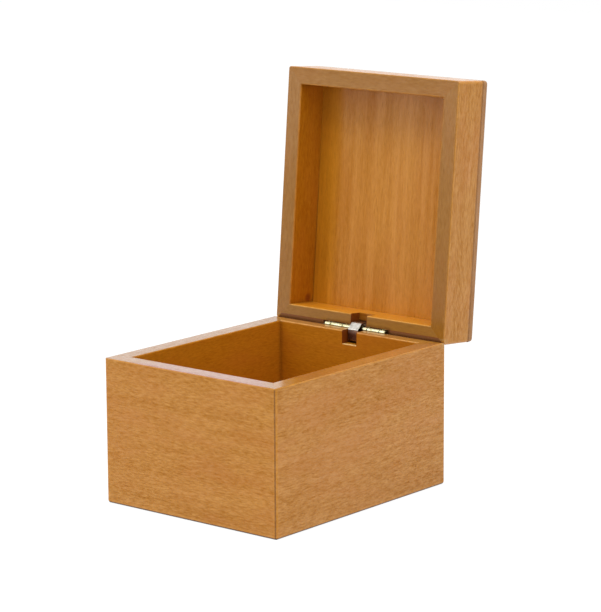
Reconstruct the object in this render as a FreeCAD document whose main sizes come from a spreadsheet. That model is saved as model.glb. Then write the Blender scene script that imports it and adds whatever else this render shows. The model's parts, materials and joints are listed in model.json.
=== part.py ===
import FreeCAD, Part

import math
import os
import re

import Sketcher

# Driving sizes in millimetres and degrees: name, value and what it measures
SIZES = (
    ("box_width", 100.8, "outside of the box, left to right"),
    ("box_depth", 122.0, "outside of the box, front to back"),
    ("base_height", 67.5, "underside to rim"),
    ("base_wall", 8.9, "thickness of the four base walls"),
    ("floor_thickness", 6.0, "board that closes the base"),
    ("lid_height", 23.6, "rim to top of the lid"),
    ("lid_wall", 8.2, "thickness of the four lid rails"),
    ("top_lip", 4.2, "top panel, where it lies over the rails"),
    ("top_step", 2.4, "top panel, let down between the rails"),
    ("rabbet_depth", 4.0, "how far the floor is let into the base walls"),
    ("glue_gap", 0.05, "room for glue round the floor and under the top panel"),
    ("base_edge_round", 1.4, "rounding along the bottom edges"),
    ("lid_edge_round", 2.0, "rounding along the top edges"),
    ("hinge_edge_round", 3.2, "rounding along the back rims, which lets the lid swing"),
    ("corner_round", 1.4, "rounding of the upright corners"),
    ("arris", 0.5, "softening of the other rim edges"),
    ("rim_gap", 0.2, "between the rims when the box is shut"),
    ("open_angle", 95.1, "how far the lid leans back from shut"),
    ("hinge_inset", 1.6, "hinge line in front of the back face"),
    ("hinge_offset", -1.2, "middle of the barrel from the middle of the box"),
    ("barrel_length", 35.9, "all five knuckles"),
    ("outer_knuckle", 3.3, "each knuckle at an end of the barrel"),
    ("inner_knuckle", 7.3, "each knuckle between an end and the middle"),
    ("knuckle_gap", 0.4, "between neighbouring knuckles"),
    ("pin_diameter", 1.3, "hinge pin"),
    ("pin_clearance", 0.04, "between pin and knuckles"),
    ("pin_head_diameter", 2.0, "peened ends of the pin"),
    ("pin_head_height", 0.4, "peened ends of the pin"),
    ("leaf_thickness", 0.6, "sheet that the leaves are rolled from"),
    ("leaf_drop", 12.0, "hinge line to the far edge of a leaf"),
    ("kerf_clearance", 0.05, "between a leaf and the sides of its saw kerf"),
    ("groove_clearance", 0.3, "between the barrel and the wood or leaf round it"),
    ("groove_end", 2.0, "groove beyond each end of the barrel"),
    ("spring_width", 5.8, "spring strip, along the hinge"),
    ("spring_thickness", 0.4, "spring strip"),
    ("spring_offset", 0.0, "middle of the strip from the middle of the box"),
    ("spring_reach", 2.52, "hinge line to the strip's slanting face"),
    ("spring_base_reach", 3.55, "hinge line to the strip's leg in the base"),
    ("spring_lid_reach", 2.7, "hinge line to the strip's leg in the lid"),
    ("spring_foot_drop", 5.6, "hinge line to the strip's feet"),
    ("spring_bend", 0.8, "radius of the strip's bends"),
    ("spring_clearance", 0.1, "between a foot and its slot in the leaf"),
    ("base_notch_left", 0.7, "between the strip and the left side of its notch in the base"),
    ("lid_notch_left", 1.6, "between the strip and the left side of its notch in the lid"),
    ("notch_right", 1.9, "between the strip and the right side of either notch"),
    ("notch_floor_room", 0.6, "between a foot and the floor of its notch"),
)

# Sizes that follow from the driving ones
FORMULAS = {
    "bore_radius": "(pin_diameter / 2 + pin_clearance)",
    "barrel_radius": "(bore_radius + leaf_thickness)",
    "groove_radius": "(barrel_radius + groove_clearance)",
    "middle_half": "(barrel_length / 2 - outer_knuckle - inner_knuckle)",
    "inner_end": "(middle_half + inner_knuckle)",
    "axis_back": "(box_depth / 2 - hinge_inset)",
    "axis_height": "(base_height + rim_gap / 2)",
    "mitre_tip": "(corner_round * (1 - cos(45)))",
    "base_shoulder": "((spring_reach - spring_base_reach * cos(open_angle / 2)) / sin(open_angle / 2))",
    "lid_shoulder": "((spring_reach - spring_lid_reach * cos(open_angle / 2)) / sin(open_angle / 2))",
    "shoulder_run": "(spring_bend * tan(open_angle / 4))",
    "slot_half": "(spring_thickness / 2 + spring_clearance)",
    "strip_left": "(spring_offset - spring_width / 2)",
    "strip_right": "(spring_offset + spring_width / 2)",
    "notch_depth": "(spring_foot_drop + spring_thickness / 2 + notch_floor_room)",
    "head_half": "(pin_head_diameter / 2)",
    "head_dome": "((head_half * head_half + pin_head_height * pin_head_height) / (2 * pin_head_height))",
    "pin_neck": "(barrel_length / 2 + pin_clearance)",
    "beyond": "(base_wall + lid_wall)",
}

NAMES = {name for name, value, note in SIZES}
LEAST_CUT = 1e-6

doc = FreeCAD.newDocument("WoodenBox")
sheet = doc.addObject("Spreadsheet::Sheet", "Sizes")
for row, (name, value, note) in enumerate(SIZES, start=1):
    sheet.set(f"A{row}", name)
    sheet.set(f"B{row}", str(value))
    sheet.setAlias(f"B{row}", name)
    sheet.set(f"C{row}", note)
doc.recompute()

pieces = []


def formula(text):
    """A formula written out in the cells of the sheet."""
    def written_out(match):
        word = match.group()
        if word in FORMULAS:
            return formula(FORMULAS[word])
        return "Sizes." + word if word in NAMES else word
    return re.sub("[a-z_]+", written_out, text)


def number(text):
    """What a formula comes to."""
    return float(sheet.evalExpression(formula(text)))


def place(x="0", y="0", z="0", turn="0", about="0; 0; 1"):
    """A placement as a formula: a turn about an axis, then a shift."""
    return f"placement(vector({x}; {y}; {z}); rotation(vector({about}); {turn}))"


def new_body(label, placement):
    """An empty body, named for its piece and put in its place."""
    body = doc.addObject("PartDesign::Body", label)
    body.Label = label
    body.setExpression("Placement", formula(placement))
    doc.recompute()
    pieces.append(body)
    return body


def new_sketch(body, name, plane, lift="0"):
    """An empty sketch on one of the body's own planes, or lifted off it."""
    sketch = body.newObject("Sketcher::SketchObject", name)
    support = next(item for item in body.Origin.OriginFeatures if item.Role == plane)
    sketch.AttachmentSupport = [(support, "")]
    sketch.MapMode = "FlatFace"
    sketch.setExpression("AttachmentOffset.Base.z", formula(lift))
    return sketch


def tie(sketch, kind, target, text):
    """One dimension of a sketch, tied to a formula."""
    index = sketch.addConstraint(Sketcher.Constraint(kind, *target, number(text)))
    sketch.setExpression(f"Constraints[{index}]", formula(text))


def tie_point(sketch, geometry, end, x, y):
    """Both coordinates of a point of a sketch, tied to formulas."""
    tie(sketch, "DistanceX", (-1, 1, geometry, end), x)
    tie(sketch, "DistanceY", (-1, 1, geometry, end), y)


def draw_circle(sketch, x, y, radius):
    """A full circle in a sketch."""
    middle = FreeCAD.Vector(number(x), number(y), 0)
    circle = sketch.addGeometry(Part.Circle(middle, FreeCAD.Vector(0, 0, 1), number(radius)))
    tie(sketch, "Radius", (circle,), radius)
    tie_point(sketch, circle, 3, x, y)


def draw_arc(sketch, start, finish, radius):
    """An arc in a sketch that turns left, or right if its radius has a minus sign, and its end points."""
    left = not radius.startswith("-")
    radius = radius.lstrip("-")
    chord = finish - start
    side = FreeCAD.Vector(-chord.y, chord.x, 0) / chord.Length * (1 if left else -1)
    rise = math.sqrt(number(radius) ** 2 - (chord.Length / 2) ** 2)
    middle = (start + finish) / 2 + side * rise
    spokes = (start - middle, finish - middle) if left else (finish - middle, start - middle)
    angles = [math.atan2(spoke.y, spoke.x) for spoke in spokes]
    circle = Part.Circle(middle, FreeCAD.Vector(0, 0, 1), number(radius))
    arc = sketch.addGeometry(Part.ArcOfCircle(circle, *angles))
    tie(sketch, "Radius", (arc,), radius)
    return (arc, 1, 2) if left else (arc, 2, 1)


def draw_path(sketch, corners, closed=True):
    """Lines and arcs from corner to corner: (x, y), or (x, y, radius) where an arc leads to the corner."""
    at = [FreeCAD.Vector(number(corner[0]), number(corner[1]), 0) for corner in corners]
    strokes = {}
    for step in range(0 if closed else 1, len(corners)):
        if len(corners[step]) == 3:
            strokes[step] = draw_arc(sketch, at[step - 1], at[step], corners[step][2])
        else:
            strokes[step] = (sketch.addGeometry(Part.LineSegment(at[step - 1], at[step])), 1, 2)
    for step, (stroke, first, last) in strokes.items():
        if step - 1 in strokes or closed:
            before = strokes[(step - 1) % len(corners)]
            sketch.addConstraint(Sketcher.Constraint("Coincident", before[0], before[2], stroke, first))
        else:
            tie_point(sketch, stroke, first, *corners[step - 1][:2])
        tie_point(sketch, stroke, last, *corners[step][:2])


def draw_box(sketch, low_x, low_y, high_x, high_y):
    """A rectangle in a sketch."""
    draw_path(sketch, [(low_x, low_y), (high_x, low_y), (high_x, high_y), (low_x, high_y)])


def pad(body, sketch, length):
    """A section run out to a length, half to each side of its sketch."""
    feature = body.newObject("PartDesign::Pad", "Pad")
    feature.Profile = sketch
    feature.SideType = "Symmetric"
    feature.setExpression("Length", formula(length))
    doc.recompute()


def cut(body, sketch, length=None, depth=None):
    """An outline cut away: right through, over a length to both sides, or to a depth below the sketch."""
    before = body.Shape.Volume
    feature = body.newObject("PartDesign::Pocket", "Pocket")
    feature.Profile = sketch
    feature.SideType = "One side" if depth else "Symmetric"
    if length or depth:
        feature.setExpression("Length", formula(length or depth))
    else:
        feature.Type = "ThroughAll"
    doc.recompute()
    if before - body.Shape.Volume < LEAST_CUT:
        raise RuntimeError(f"{sketch.Label} cuts nothing from {body.Label}")


def mitred_board(label, placement, length, wall, height, foot, rim):
    """A board of the box: outside face on y = 0, rim up over its own kind of foot, mitred at both ends."""
    body = new_body(label, placement)
    profile = new_sketch(body, "Profile", "YZ_Plane")
    draw_path(profile, [
        *foot,
        (wall, f"{height} - arris"),
        (f"{wall} - arris", height, "arris"),
        (rim, height),
        ("0", f"{height} - {rim}", rim),
    ])
    pad(body, profile, length)
    mitres = new_sketch(body, "Mitres", "XY_Plane")
    for end in ("", "-"):
        draw_path(mitres, [
            (f"{end}({length} / 2 - corner_round)", "0"),
            (f"{end}({length} / 2 - mitre_tip)", "mitre_tip", f"{end}corner_round"),
            (f"{end}({length} / 2 - beyond)", "beyond"),
            (f"{end}({length} / 2 + beyond)", "beyond"),
            (f"{end}({length} / 2 + beyond)", "-beyond"),
            (f"{end}({length} / 2 - corner_round)", "-beyond"),
        ])
    cut(body, mitres)
    return body


def round_back_end(body, end, length, height):
    """The rounding of the back rim, carried across the back end of a side board."""
    sketch = new_sketch(body, "BackEnd", "XZ_Plane")
    turn = "" if end else "-"
    draw_path(sketch, [
        (f"{end}({length} / 2 - hinge_edge_round)", height),
        (f"{end}{length} / 2", f"{height} - hinge_edge_round", f"{turn}hinge_edge_round"),
        (f"{end}({length} / 2 + beyond)", f"{height} - hinge_edge_round"),
        (f"{end}({length} / 2 + beyond)", f"{height} + beyond"),
        (f"{end}({length} / 2 - hinge_edge_round)", f"{height} + beyond"),
    ])
    cut(body, sketch)


def cut_hinge_seat(body, side, notch_ends, wall, height):
    """Groove for the barrel, kerf for the leaf and notch for the spring, in the rim of a back board."""
    groove = new_sketch(body, "Groove", "YZ_Plane", f"{side}hinge_offset")
    draw_circle(groove, "hinge_inset", f"{height} + rim_gap / 2", "groove_radius")
    cut(body, groove, length="barrel_length + 2 * groove_end")
    kerf = new_sketch(body, "Kerf", "XY_Plane", height)
    draw_box(
        kerf,
        f"{side}hinge_offset - barrel_length / 2 - kerf_clearance",
        "hinge_inset + bore_radius - kerf_clearance",
        f"{side}hinge_offset + barrel_length / 2 + kerf_clearance",
        "hinge_inset + barrel_radius + kerf_clearance",
    )
    cut(body, kerf, depth="leaf_drop + kerf_clearance")
    notch = new_sketch(body, "Notch", "XY_Plane", height)
    draw_box(
        notch,
        notch_ends[0],
        "hinge_inset + barrel_radius",
        notch_ends[1],
        f"{wall} + beyond",
    )
    cut(body, notch, depth="notch_depth")


def four_boards(labels, frame, side, notch_ends, wall, height, foot):
    """Four mitred boards round a cavity, rim up in a frame of their own."""
    front, right, back, left = labels
    for label, length, turn, x, y in (
        (front, "box_width", "0", "0", "-box_depth / 2"),
        (right, "box_depth", "90", "box_width / 2", "0"),
        (back, "box_width", "180", "0", "box_depth / 2"),
        (left, "box_depth", "270", "-box_width / 2", "0"),
    ):
        rim = "hinge_edge_round" if label == back else "arris"
        placement = f"{frame} * {place(x, y, turn=turn)}"
        board = mitred_board(label, placement, length, wall, height, foot, rim)
        if label == back:
            cut_hinge_seat(board, side, notch_ends, wall, height)
        elif label != front:
            round_back_end(board, "" if label == right else "-", length, height)


def let_in_floor(label):
    """The floor, let into the rabbets of the base walls from below."""
    let_in = "(base_wall - rabbet_depth + glue_gap)"
    board = doc.addObject("Part::Box", label)
    board.Label = label
    board.setExpression("Length", formula(f"box_width - 2 * {let_in}"))
    board.setExpression("Width", formula(f"box_depth - 2 * {let_in}"))
    board.setExpression("Height", formula("floor_thickness"))
    corner = place(f"{let_in} - box_width / 2", f"{let_in} - box_depth / 2")
    board.setExpression("Placement", formula(corner))
    pieces.append(board)


def top_panel(label, placement):
    """The lid's top, lying on z = 0: a lip with rounded edges over the rails, and a step between them."""
    body = new_body(label, placement)
    lip = new_sketch(body, "Lip", "XY_Plane", "top_lip / 2")
    draw_path(lip, [
        ("box_width / 2 - corner_round", "-box_depth / 2"),
        ("box_width / 2", "corner_round - box_depth / 2", "corner_round"),
        ("box_width / 2", "box_depth / 2 - corner_round"),
        ("box_width / 2 - corner_round", "box_depth / 2", "corner_round"),
        ("corner_round - box_width / 2", "box_depth / 2"),
        ("-box_width / 2", "box_depth / 2 - corner_round", "corner_round"),
        ("-box_width / 2", "corner_round - box_depth / 2"),
        ("corner_round - box_width / 2", "-box_depth / 2", "corner_round"),
    ])
    pad(body, lip, "top_lip")
    step = new_sketch(body, "Step", "XY_Plane", "top_lip + top_step / 2")
    room_x, room_y = (f"({size} / 2 - lid_wall - glue_gap)" for size in ("box_width", "box_depth"))
    draw_box(step, f"-{room_x}", f"-{room_y}", room_x, room_y)
    pad(body, step, "top_step")
    for plane, size in (("XZ_Plane", "box_width"), ("YZ_Plane", "box_depth")):
        edges = new_sketch(body, "TopEdges", plane)
        for end in ("", "-"):
            draw_path(edges, [
                (f"{end}({size} / 2 - lid_edge_round)", "0"),
                (f"{end}{size} / 2", "lid_edge_round", f"{end}lid_edge_round"),
                (f"{end}({size} / 2 + beyond)", "lid_edge_round"),
                (f"{end}({size} / 2 + beyond)", "-beyond"),
                (f"{end}({size} / 2 - lid_edge_round)", "-beyond"),
            ])
        cut(body, edges)


def hinge_leaf(label, placement, side, gaps):
    """A hinge leaf: hinge line on X, sheet hanging below it, cleared where the other leaf's knuckles run."""
    body = new_body(label, placement)
    flat = new_sketch(body, "Flat", "YZ_Plane")
    draw_box(flat, "-barrel_radius", "-leaf_drop", "-bore_radius", "0")
    pad(body, flat, "barrel_length")
    roll = new_sketch(body, "Roll", "YZ_Plane")
    draw_circle(roll, "0", "0", "barrel_radius")
    pad(body, roll, "barrel_length")
    clear = new_sketch(body, "KnuckleGaps", "XZ_Plane")
    for start, finish in gaps:
        draw_box(clear, start, "-groove_radius", finish, "groove_radius")
    cut(body, clear)
    bore = new_sketch(body, "Bore", "YZ_Plane")
    draw_circle(bore, "0", "0", "bore_radius")
    cut(body, bore)
    slot = new_sketch(body, "SpringSlot", "XZ_Plane")
    middle = f"{side}(spring_offset - hinge_offset)"
    draw_box(
        slot,
        f"{middle} - spring_width / 2 - spring_clearance",
        "-spring_foot_drop - slot_half",
        f"{middle} + spring_width / 2 + spring_clearance",
        "-spring_foot_drop + slot_half",
    )
    cut(body, slot)


def hinge_pin(label, placement):
    """The hinge pin along X, with both ends peened over."""
    body = new_body(label, placement)
    outline = new_sketch(body, "PinOutline", "XY_Plane")
    draw_path(outline, [
        ("-(pin_neck + pin_head_height)", "0", "head_dome"),
        ("pin_neck + pin_head_height", "0"),
        ("pin_neck", "head_half", "head_dome"),
        ("pin_neck", "pin_diameter / 2"),
        ("-pin_neck", "pin_diameter / 2"),
        ("-pin_neck", "head_half"),
    ])
    turned = body.newObject("PartDesign::Revolution", "Turned")
    turned.Profile = outline
    turned.ReferenceAxis = (outline, ["H_Axis"])
    turned.Angle = 360
    doc.recompute()


def across_open_angle(forward, up):
    """The place that answers a place on the base's side of the hinge, on the lid's side."""
    return (
        f"({forward}) * cos(open_angle) + ({up}) * sin(open_angle)",
        f"({forward}) * sin(open_angle) - ({up}) * cos(open_angle)",
    )


def strip_side(reach, shoulder):
    """A foot, a leg and a shoulder of the spring strip, each place before and above the hinge line."""
    slant_forward = f"{reach} - shoulder_run * sin(open_angle / 2)"
    slant_up = f"{shoulder} + shoulder_run * cos(open_angle / 2)"
    return [
        ("bore_radius", "-spring_foot_drop"),
        (f"{reach} - spring_bend", "-spring_foot_drop"),
        (reach, "spring_bend - spring_foot_drop"),
        (reach, f"{shoulder} - shoulder_run"),
        (slant_forward, slant_up),
    ]


def hinge_spring(label, placement):
    """The spring strip: a foot in each leaf, a leg in each notch and a slanting face over the barrel."""
    body = new_body(label, placement)
    base_side = strip_side("spring_base_reach", "base_shoulder")
    lid_side = [across_open_angle(*point) for point in strip_side("spring_lid_reach", "lid_shoulder")]
    corners = [(f"-({forward})", up) for forward, up in base_side + lid_side[::-1]]
    for bend_end in (2, 4, 6, 8):
        corners[bend_end] += ("-spring_bend",)
    bends = new_sketch(body, "Bends", "YZ_Plane")
    draw_path(bends, corners, closed=False)
    section = new_sketch(body, "StripSection", "XZ_Plane", "bore_radius")
    draw_box(
        section,
        "-spring_width / 2",
        "-spring_foot_drop - spring_thickness / 2",
        "spring_width / 2",
        "-spring_foot_drop + spring_thickness / 2",
    )
    strip = body.newObject("PartDesign::AdditivePipe", "Strip")
    strip.Profile = section
    strip.Spine = bends
    doc.recompute()


def check_and_write():
    """Every object of the document sound, then one file for each piece."""
    for item in doc.Objects:
        if "Invalid" in item.State or "Error" in item.State:
            raise RuntimeError(f"{item.Label} failed: {item.State}")
    for piece in pieces:
        if piece.Shape.isNull() or not piece.Shape.isValid() or len(piece.Shape.Solids) != 1:
            raise RuntimeError(f"{piece.Label} is not one sound solid")
    os.makedirs("parts", exist_ok=True)
    for piece in pieces:
        piece.Shape.exportStep(f"parts/{piece.Label}.step")
        print(piece.Label, round(piece.Shape.Volume, 2))


hinge_line = place("hinge_offset", "axis_back", "axis_height")
swing = place(turn="-open_angle", about="1; 0; 0")
turned_over = place(turn="180", about="0; 1; 0")
lid_frame = " * ".join((
    place(y="axis_back", z="axis_height", turn="-open_angle", about="1; 0; 0"),
    place(y="-axis_back", z="lid_height + rim_gap / 2", turn="180", about="0; 1; 0"),
))

four_boards(
    ("base_front_wall", "base_right_wall", "base_back_wall", "base_left_wall"),
    place(), "-", ("-strip_right - notch_right", "base_notch_left - strip_left"), "base_wall", "base_height",
    foot=[
        ("0", "base_edge_round"),
        ("base_edge_round", "0", "base_edge_round"),
        ("base_wall - rabbet_depth", "0"),
        ("base_wall - rabbet_depth", "floor_thickness"),
        ("base_wall", "floor_thickness"),
    ],
)
let_in_floor("base_floor")
# The lid is the same kind of tray turned over, so its left and right change places
four_boards(
    ("lid_front_rail", "lid_left_rail", "lid_back_rail", "lid_right_rail"),
    lid_frame, "", ("strip_left - lid_notch_left", "strip_right + notch_right"), "lid_wall", "lid_height",
    foot=[("0", "top_lip + glue_gap"), ("lid_wall", "top_lip + glue_gap")],
)
top_panel("lid_top_panel", lid_frame)
# The base leaf keeps the middle and end knuckles, and the lid leaf the two between them
hinge_leaf("hinge_base_leaf", hinge_line, "", [
    ("middle_half - knuckle_gap / 2", "inner_end + knuckle_gap / 2"),
    ("-inner_end - knuckle_gap / 2", "knuckle_gap / 2 - middle_half"),
])
hinge_leaf("hinge_lid_leaf", f"{hinge_line} * {swing} * {turned_over}", "-", [
    ("-middle_half - knuckle_gap / 2", "middle_half + knuckle_gap / 2"),
    ("inner_end - knuckle_gap / 2", "barrel_length"),
    ("-barrel_length", "knuckle_gap / 2 - inner_end"),
])
hinge_pin("hinge_pin", hinge_line)
hinge_spring("hinge_spring", place("spring_offset", "axis_back", "axis_height"))
check_and_write()
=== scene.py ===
"""A small wooden box whose lid swings on one sprung hinge, modelled and finished on the CAD frame."""
import json
import math

import bmesh
import bpy
from mathutils import Matrix, Vector


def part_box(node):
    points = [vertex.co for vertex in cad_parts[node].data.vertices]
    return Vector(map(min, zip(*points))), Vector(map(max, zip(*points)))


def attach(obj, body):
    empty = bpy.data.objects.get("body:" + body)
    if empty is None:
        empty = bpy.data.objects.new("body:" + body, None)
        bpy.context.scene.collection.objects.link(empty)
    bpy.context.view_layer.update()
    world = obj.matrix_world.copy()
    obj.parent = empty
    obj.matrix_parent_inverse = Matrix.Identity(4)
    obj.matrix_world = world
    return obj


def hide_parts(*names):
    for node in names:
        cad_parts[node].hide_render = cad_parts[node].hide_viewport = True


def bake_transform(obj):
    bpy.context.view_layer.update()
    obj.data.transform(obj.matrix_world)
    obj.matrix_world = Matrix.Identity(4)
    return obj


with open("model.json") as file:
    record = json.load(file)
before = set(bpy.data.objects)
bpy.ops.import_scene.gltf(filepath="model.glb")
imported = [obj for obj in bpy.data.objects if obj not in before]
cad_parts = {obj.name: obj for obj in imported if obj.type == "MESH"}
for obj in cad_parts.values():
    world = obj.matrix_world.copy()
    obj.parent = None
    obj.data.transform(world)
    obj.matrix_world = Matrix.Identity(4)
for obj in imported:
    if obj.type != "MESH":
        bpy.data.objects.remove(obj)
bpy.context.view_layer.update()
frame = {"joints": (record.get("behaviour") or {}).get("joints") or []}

bl_info = {
    "name": "Wooden Box",
    "version": (1, 0, 0),
    "blender": (4, 5, 0),
    "location": "3D View > Sidebar > Wooden Box",
    "description": "Models a small lacquered box with a sprung hinge",
    "category": "Object",
}

# Units, tolerances and how finely round shapes are made
MM = 0.001
NEAR = 1e-6  # points closer than this lie in one place
SPECK = 4e-6  # edges shorter than this are left over from cutting
NODE_SLACK = 0.35 * MM  # how far a piece may end from its CAD node
BEYOND = 5 * MM  # how far a cutter reaches past what it cuts
FACING = 0.9  # share of a face's normal along an axis from which it faces that way
ROD_SIDES = 48
ROUND_STEPS = 8
ARRIS_STEPS = 4
ROLL_STEPS = 40
SMOOTH_ANGLE = math.radians(38.0)  # edges that bend less than this shade smoothly
SHARP_ANGLE = math.radians(50)  # edges of sheet metal that bend more than this are softened

# The hinge line and how far the lid leans back, as the CAD model has them
HINGE = next(joint for joint in frame["joints"] if joint["name"] == "lid_hinge")
HINGE_LINE = Vector(HINGE["pos_m"])
OPEN_ANGLE = math.radians(HINGE["range_deg"][1])
X_AXIS = Vector((1, 0, 0))

# Softened edges of the sheet metal, and the rings of a peened head as shares of its widest angle
LEAF_SOFTENING = 0.06 * MM
SPRING_SOFTENING = 0.05 * MM
HEAD_RINGS = (1.0, 0.9, 0.72, 0.5, 0.25)

# How often each figure of the wood and the metal repeats in a millimetre, along its first axis and across it
CLOUD = (0.030, 0.060)
FIBRE = (0.09, 2.4)
FLECK = (0.34, 1.35)
PORE = (0.27, 3.6)
BOARD_RIBBON = (0.006, 0.20)
BOARD_STREAK = (0.012, 0.55)
PANEL_RIBBON = (0.006, 0.11)
PANEL_STREAK = (0.014, 0.42)
ROSY_PATCH = (0.03, 0.09)
RUBBED_PATCH = (0.25, 0.6)
BRASS_MARKS = (0.35, 9.0)
STEEL_MARKS = (0.3, 5.0)
DULL_PATCH = (0.5, 0.5)
SEED_STEP = 7.3

# Marks on a board that has none: each half and each board below names its own
NO_MARKS = {
    "rim_tint": 0.0,  # how strongly the rim is tinted
    "rim_lacquer": 1.0,  # lacquer on the rim, against the lacquer outside
    "rim_painted_sheen": 0.0,  # painted cool sheen along the middle of the rim
    "worn_foot_and_highlight": 0.0,  # rubbed edge along the foot, lighter both as wear and as a painted highlight
    "foot_tint": 0.0,  # tint along the foot, beside the top panel
    "foot_shadow": 0.0,  # painted contact shadow along the foot
    "back_dust_and_light": 0.0,  # dust along the hinge's edges, and painted light on the rounding in the groove
    "seat_shade": 0.0,  # painted shade beside the barrel
    "notch_floor": 0.0,  # darker floor of the spring's notch
    "notch_sill": 0.0,  # painted light along the edge of that floor
    "joint": 0.0,  # stain along the mitre at the far end of the grain
    "shift": 0.0,  # lighter or darker wood inside; on the lid's back and left rails this is painted light and shade
    "knot": None,  # place of a knot, from the board's middle, in millimetres
}

# Place of the floor, aim of the lamps, and width of the camera's frame in millimetres
FLOOR_DROP = 0.1 * MM
LAMP_AIM = Vector((0, 0, 0.08))
FRAME_WIDTH = 36.0


# Sizes and colours that a user would change

def length(name, millimetres, description):
    """A length that a user can change, written here in millimetres."""
    return bpy.props.FloatProperty(
        name=name, description=description, default=millimetres * MM,
        unit="LENGTH", subtype="DISTANCE", precision=5,
    )


def angle(name, degrees, description):
    """An angle that a user can change, written here in degrees."""
    return bpy.props.FloatProperty(
        name=name, description=description, default=math.radians(degrees), unit="ROTATION", subtype="ANGLE",
    )


def share(name, value, description):
    """A number from nothing to all, or a little more, that a user can change."""
    return bpy.props.FloatProperty(name=name, description=description, default=value, min=0.0, soft_max=1.0)


def as_light(red, green, blue):
    """A colour as the screen shows it, 0 to 255, turned into amounts of light."""
    shown = (red / 255, green / 255, blue / 255)
    return tuple(part / 12.92 if part < 0.04045 else ((part + 0.055) / 1.055) ** 2.4 for part in shown)


def colour(name, shown, description):
    """A colour that a user can change, written here as the screen shows it."""
    return bpy.props.FloatVectorProperty(
        name=name, description=description, default=as_light(*shown),
        size=3, min=0.0, max=1.0, subtype="COLOR",
    )


def lamp_power(name, watts, description):
    """The power of a lamp that a user can change."""
    return bpy.props.FloatProperty(name=name, description=description, default=watts, min=0.0, unit="POWER")


class BoxSizes(bpy.types.PropertyGroup):
    """Boards of the base and the lid."""
    width: length("Width", 100.8, "Outside of the box, left to right")
    depth: length("Depth", 122.0, "Outside of the box, front to back")
    base_height: length("Base height", 67.5, "Underside to rim")
    base_wall: length("Base wall", 8.9, "Thickness of the four base walls")
    floor_thickness: length("Floor", 6.0, "Board that closes the base")
    lid_height: length("Lid height", 23.6, "Rim to top of the lid")
    lid_wall: length("Lid wall", 8.2, "Thickness of the four lid rails")
    top_lip: length("Top lip", 4.2, "Top panel, where it lies over the rails")
    top_step: length("Top step", 2.4, "Top panel, let down between the rails")
    rabbet_depth: length("Rabbet", 4.0, "How far the floor is let into the base walls")
    glue_gap: length("Glue gap", 0.05, "Room for glue round the floor and under the top panel")
    base_edge_round: length("Bottom rounding", 1.4, "Rounding along the bottom edges")
    lid_edge_round: length("Top rounding", 2.0, "Rounding along the top edges of the lid")
    hinge_edge_round: length("Back rounding", 3.2, "Rounding along the back rims")
    corner_round: length("Corner rounding", 1.4, "Rounding of the upright corners")
    arris: length("Arris", 0.5, "Softening of the other rim edges")
    mitre_line: length("Mitre line", 0.05, "Softening where two boards meet in a mitre")
    lip_line: length("Lip line", 0.15, "Softening of the panels and of the rails under the top")
    rim_gap: length("Rim gap", 0.2, "Between the rims when the box is shut")


class HingeSizes(bpy.types.PropertyGroup):
    """The rolled hinge, its pin and its spring strip."""
    inset: length("Inset", 1.6, "Hinge line in front of the back face")
    offset: length("Offset", -1.2, "Middle of the barrel from the middle of the box")
    barrel_length: length("Barrel", 35.9, "All five knuckles")
    outer_knuckle: length("Outer knuckle", 3.3, "Each knuckle at an end of the barrel")
    inner_knuckle: length("Inner knuckle", 7.3, "Each knuckle between an end and the middle")
    knuckle_gap: length("Knuckle gap", 0.4, "Between neighbouring knuckles")
    roll_angle: angle("Roll", 318.0, "How far the sheet is rolled round the pin")
    pin_diameter: length("Pin", 1.3, "Diameter of the hinge pin")
    pin_clearance: length("Pin clearance", 0.04, "Between pin and knuckles")
    pin_head_diameter: length("Pin head", 2.0, "Diameter of the peened ends")
    pin_head_height: length("Pin head height", 0.4, "Height of the peened ends")
    leaf_thickness: length("Leaf", 0.6, "Sheet that the leaves are rolled from")
    leaf_drop: length("Leaf drop", 12.0, "Hinge line to the far edge of a leaf")
    kerf_clearance: length("Kerf clearance", 0.05, "Between a leaf and the sides of its saw kerf")
    groove_clearance: length("Groove clearance", 0.3, "Between the barrel and the wood round it")
    groove_end: length("Groove end", 2.0, "Groove beyond each end of the barrel")
    spring_width: length("Spring width", 5.8, "Spring strip, along the hinge")
    spring_thickness: length("Spring thickness", 0.4, "Spring strip")
    spring_offset: length("Spring offset", 0.0, "Middle of the strip from the middle of the box")
    spring_reach: length("Spring reach", 2.52, "Hinge line to the strip's slanting face")
    spring_base_reach: length("Spring reach in the base", 3.55, "Hinge line to the strip's leg in the base")
    spring_lid_reach: length("Spring reach in the lid", 2.7, "Hinge line to the strip's leg in the lid")
    spring_foot_drop: length("Spring foot drop", 5.6, "Hinge line to the strip's feet")
    spring_bend: length("Spring bend", 0.8, "Radius of the strip's bends")
    spring_clearance: length("Spring clearance", 0.1, "Between a foot and its slot in the leaf")
    base_notch_left: length("Base notch left", 0.7, "Between the strip and its notch in the base, left")
    lid_notch_left: length("Lid notch left", 1.6, "Between the strip and its notch in the lid, left")
    notch_right: length("Notch right", 1.9, "Between the strip and either notch, right")
    notch_floor_room: length("Notch floor room", 0.6, "Between a foot and the floor of its notch")

    def bore_radius(self):
        """Inside of the knuckles."""
        return self.pin_diameter / 2 + self.pin_clearance

    def barrel_radius(self):
        """Outside of the knuckles."""
        return self.bore_radius() + self.leaf_thickness

    def groove_radius(self):
        """Groove that the barrel lies in."""
        return self.barrel_radius() + self.groove_clearance

    def notch_depth(self):
        """Notches for the spring, from the rim down."""
        return self.spring_foot_drop + self.spring_thickness / 2 + self.notch_floor_room

    def notch_sides(self, left_room):
        """Left and right side of a notch."""
        left = self.spring_offset - self.spring_width / 2 - left_room
        return left, self.spring_offset + self.spring_width / 2 + self.notch_right

    def knuckle_ends(self):
        """Where the knuckles end, from the middle of the barrel outwards."""
        middle = self.barrel_length / 2 - self.outer_knuckle - self.inner_knuckle
        return middle, middle + self.inner_knuckle, self.barrel_length / 2


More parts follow.
